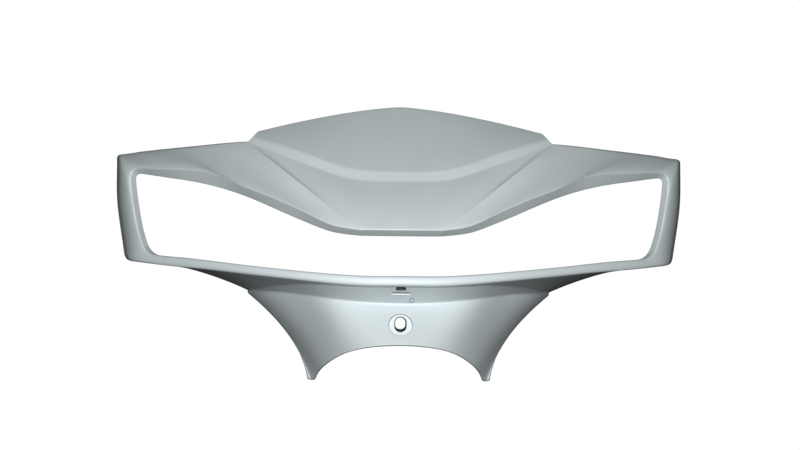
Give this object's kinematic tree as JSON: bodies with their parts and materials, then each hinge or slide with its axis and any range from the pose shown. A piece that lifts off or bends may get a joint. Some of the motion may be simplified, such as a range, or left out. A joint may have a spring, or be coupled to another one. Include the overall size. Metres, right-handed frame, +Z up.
{
  "type": "handlebar front cover",
  "caption": "Moulded scooter handlebar front cover: raised hood with a chamfer band, swept wings, a wide lamp and indicator window and a half-round stem neck.",
  "frame": {"origin": "centre of the stem screw's seat, on the floor of its round recess in the neck", "axes": "+X across the bars, +Y to the rear of the vehicle, +Z up"},
  "size_m": [0.4186, 0.1301, 0.2022],
  "materials": {
    "painted_abs": "satin light blue-grey paint on injection-moulded ABS"
  },
  "bodies": {
    "root": {"front_cover": "painted_abs"}
  },
  "joints": []
}
